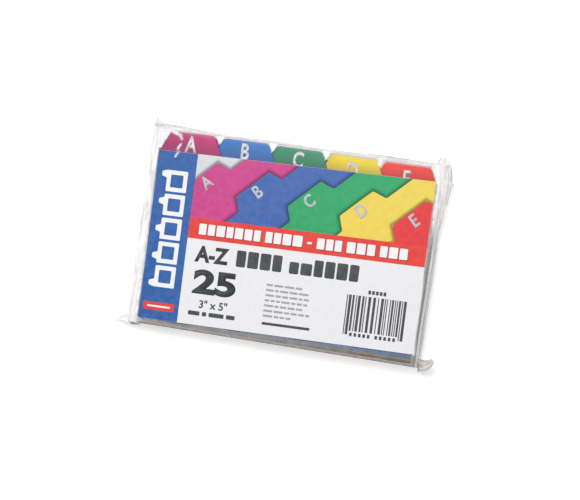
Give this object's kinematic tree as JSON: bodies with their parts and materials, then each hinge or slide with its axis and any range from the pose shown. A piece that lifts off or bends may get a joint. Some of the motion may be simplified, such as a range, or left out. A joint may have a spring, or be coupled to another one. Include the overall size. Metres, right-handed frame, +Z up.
{
  "type": "wrapped pack of card guides",
  "caption": "Shrink-wrapped flat pack of coloured A to Z index card guides with staggered tabs, under one printed label card.",
  "frame": {"origin": "on the surface that the pack lies on, below the centre of the guides' bodies", "axes": "+X along the guides' long side, to the right of the print; +Y towards the tabs; +Z up, from the back film to the front"},
  "size_m": [0.1475, 0.0965, 0.0131],
  "materials": {
    "film": "clear shrink film",
    "label_board": "coated board, printed",
    "poly_magenta": "smooth polypropylene",
    "poly_blue": "smooth polypropylene",
    "poly_green": "smooth polypropylene",
    "poly_yellow": "smooth polypropylene",
    "poly_red": "smooth polypropylene"
  },
  "bodies": {
    "wrap": {"film_front_leaf": "film", "film_back_leaf": "film", "film_seam_left": "film", "film_seam_right": "film", "film_seam_head": "film"},
    "film_ear_head_left": {"film_ear_head_left": "film"},
    "film_ear_head_right": {"film_ear_head_right": "film"},
    "film_ear_foot_left": {"film_ear_foot_left": "film"},
    "film_ear_foot_right": {"film_ear_foot_right": "film"},
    "label_card": {"label_card": "label_board"},
    "guide_a": {"guide_a": "poly_magenta"},
    "guide_b": {"guide_b": "poly_blue"},
    "guide_c": {"guide_c": "poly_green"},
    "guide_d": {"guide_d": "poly_yellow"},
    "guide_e": {"guide_e": "poly_red"},
    "guide_f": {"guide_f": "poly_magenta"},
    "guide_g": {"guide_g": "poly_blue"},
    "guide_h": {"guide_h": "poly_green"},
    "guide_i": {"guide_i": "poly_yellow"},
    "guide_j": {"guide_j": "poly_red"},
    "guide_k": {"guide_k": "poly_magenta"},
    "guide_l": {"guide_l": "poly_blue"},
    "guide_m": {"guide_m": "poly_green"},
    "guide_mc": {"guide_mc": "poly_yellow"},
    "guide_n": {"guide_n": "poly_red"},
    "guide_o": {"guide_o": "poly_magenta"},
    "guide_p": {"guide_p": "poly_blue"},
    "guide_q": {"guide_q": "poly_green"},
    "guide_r": {"guide_r": "poly_yellow"},
    "guide_s": {"guide_s": "poly_red"},
    "guide_t": {"guide_t": "poly_magenta"},
    "guide_u": {"guide_u": "poly_blue"},
    "guide_v": {"guide_v": "poly_green"},
    "guide_w": {"guide_w": "poly_yellow"},
    "guide_xyz": {"guide_xyz": "poly_red"}
  },
  "joints": [
    {"name": "ear_head_left_bend", "type": "hinge", "parent": "wrap", "child": "film_ear_head_left", "pos_m": [-0.07006, 0.05134, 0.00655], "axis": [0.9848, 0.1736, 0], "range_deg": [-35, 35], "stiffness_Nm_per_rad": 0.0001},
    {"name": "ear_head_right_bend", "type": "hinge", "parent": "wrap", "child": "film_ear_head_right", "pos_m": [0.06653, 0.05116, 0.00655], "axis": [0.5299, -0.848, 0], "range_deg": [-35, 35], "stiffness_Nm_per_rad": 0.0001},
    {"name": "ear_foot_left_bend", "type": "hinge", "parent": "wrap", "child": "film_ear_foot_left", "pos_m": [-0.07038, -0.03979, 0.00655], "axis": [-0.1045, 0.9945, 0], "range_deg": [-35, 35], "stiffness_Nm_per_rad": 0.0001},
    {"name": "ear_foot_right_bend", "type": "hinge", "parent": "wrap", "child": "film_ear_foot_right", "pos_m": [0.06658, -0.03969, 0.00655], "axis": [0.1392, -0.9903, 0], "range_deg": [-35, 35], "stiffness_Nm_per_rad": 0.0001},
    {"name": "label_ride_up", "type": "slide", "parent": "wrap", "child": "label_card", "axis": [0, 1, 0], "range_m": [-0.0022, 0.0072]},
    {"name": "guide_a_slip", "type": "slide", "parent": "wrap", "child": "guide_a", "axis": [1, 0, 0], "range_m": [-0.0026, 0.0003]},
    {"name": "guide_b_slip", "type": "slide", "parent": "wrap", "child": "guide_b", "axis": [1, 0, 0], "range_m": [-0.0031, 0.0009]},
    {"name": "guide_c_slip", "type": "slide", "parent": "wrap", "child": "guide_c", "axis": [1, 0, 0], "range_m": [-0.0031, 0.0013]},
    {"name": "guide_d_slip", "type": "slide", "parent": "wrap", "child": "guide_d", "axis": [1, 0, 0], "range_m": [-0.0035, 0.0011]},
    {"name": "guide_e_slip", "type": "slide", "parent": "wrap", "child": "guide_e", "axis": [1, 0, 0], "range_m": [-0.0033, 0.0013]},
    {"name": "guide_f_slip", "type": "slide", "parent": "wrap", "child": "guide_f", "axis": [1, 0, 0], "range_m": [-0.0033, 0.0014]},
    {"name": "guide_g_slip", "type": "slide", "parent": "wrap", "child": "guide_g", "axis": [1, 0, 0], "range_m": [-0.0036, 0.0011]},
    {"name": "guide_h_slip", "type": "slide", "parent": "wrap", "child": "guide_h", "axis": [1, 0, 0], "range_m": [-0.0032, 0.0015]},
    {"name": "guide_i_slip", "type": "slide", "parent": "wrap", "child": "guide_i", "axis": [1, 0, 0], "range_m": [-0.0035, 0.0013]},
    {"name": "guide_j_slip", "type": "slide", "parent": "wrap", "child": "guide_j", "axis": [1, 0, 0], "range_m": [-0.0035, 0.0013]},
    {"name": "guide_k_slip", "type": "slide", "parent": "wrap", "child": "guide_k", "axis": [1, 0, 0], "range_m": [-0.0032, 0.0015]},
    {"name": "guide_l_slip", "type": "slide", "parent": "wrap", "child": "guide_l", "axis": [1, 0, 0], "range_m": [-0.0036, 0.0011]},
    {"name": "guide_m_slip", "type": "slide", "parent": "wrap", "child": "guide_m", "axis": [1, 0, 0], "range_m": [-0.0033, 0.0014]},
    {"name": "guide_mc_slip", "type": "slide", "parent": "wrap", "child": "guide_mc", "axis": [1, 0, 0], "range_m": [-0.0033, 0.0014]},
    {"name": "guide_n_slip", "type": "slide", "parent": "wrap", "child": "guide_n", "axis": [1, 0, 0], "range_m": [-0.0036, 0.0012]},
    {"name": "guide_o_slip", "type": "slide", "parent": "wrap", "child": "guide_o", "axis": [1, 0, 0], "range_m": [-0.0032, 0.0015]},
    {"name": "guide_p_slip", "type": "slide", "parent": "wrap", "child": "guide_p", "axis": [1, 0, 0], "range_m": [-0.0035, 0.0012]},
    {"name": "guide_q_slip", "type": "slide", "parent": "wrap", "child": "guide_q", "axis": [1, 0, 0], "range_m": [-0.0034, 0.0013]},
    {"name": "guide_r_slip", "type": "slide", "parent": "wrap", "child": "guide_r", "axis": [1, 0, 0], "range_m": [-0.0032, 0.0015]},
    {"name": "guide_s_slip", "type": "slide", "parent": "wrap", "child": "guide_s", "axis": [1, 0, 0], "range_m": [-0.0036, 0.0011]},
    {"name": "guide_t_slip", "type": "slide", "parent": "wrap", "child": "guide_t", "axis": [1, 0, 0], "range_m": [-0.0032, 0.0015]},
    {"name": "guide_u_slip", "type": "slide", "parent": "wrap", "child": "guide_u", "axis": [1, 0, 0], "range_m": [-0.0034, 0.0013]},
    {"name": "guide_v_slip", "type": "slide", "parent": "wrap", "child": "guide_v", "axis": [1, 0, 0], "range_m": [-0.0035, 0.0012]},
    {"name": "guide_w_slip", "type": "slide", "parent": "wrap", "child": "guide_w", "axis": [1, 0, 0], "range_m": [-0.0032, 0.0015]},
    {"name": "guide_xyz_slip", "type": "slide", "parent": "wrap", "child": "guide_xyz", "axis": [1, 0, 0], "range_m": [-0.0036, 0.0012]}
  ]
}
